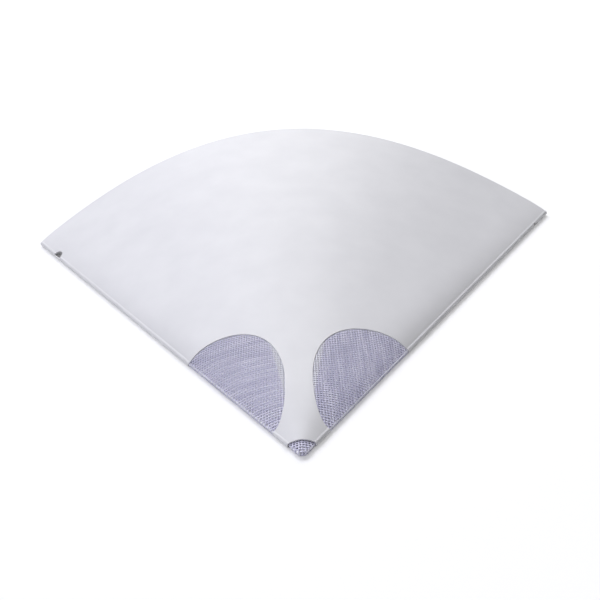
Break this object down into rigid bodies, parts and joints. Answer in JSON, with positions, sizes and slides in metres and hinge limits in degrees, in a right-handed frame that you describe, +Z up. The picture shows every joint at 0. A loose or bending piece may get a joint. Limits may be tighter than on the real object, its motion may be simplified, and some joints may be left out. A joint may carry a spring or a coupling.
{
  "type": "paper cone strainer",
  "caption": "Fold-flat paper cone strainer lying on its back, sprung a little open, with a gauze window across each crease, a gauze tip and a small punched hole near each end of the rim.",
  "frame": {"origin": "middle of the lying strainer's box, on the surface it lies on", "axes": "+Y from the gauze tip to the open mouth, +Z up from the surface, +X across the mouth"},
  "size_m": [0.1864, 0.16, 0.0304],
  "materials": {
    "coated_paper": "coated white paper, satin",
    "gauze": "fine woven nylon gauze"
  },
  "bodies": {
    "root": {"paper_cone": "coated_paper", "filter_gauze": "gauze"}
  },
  "joints": []
}
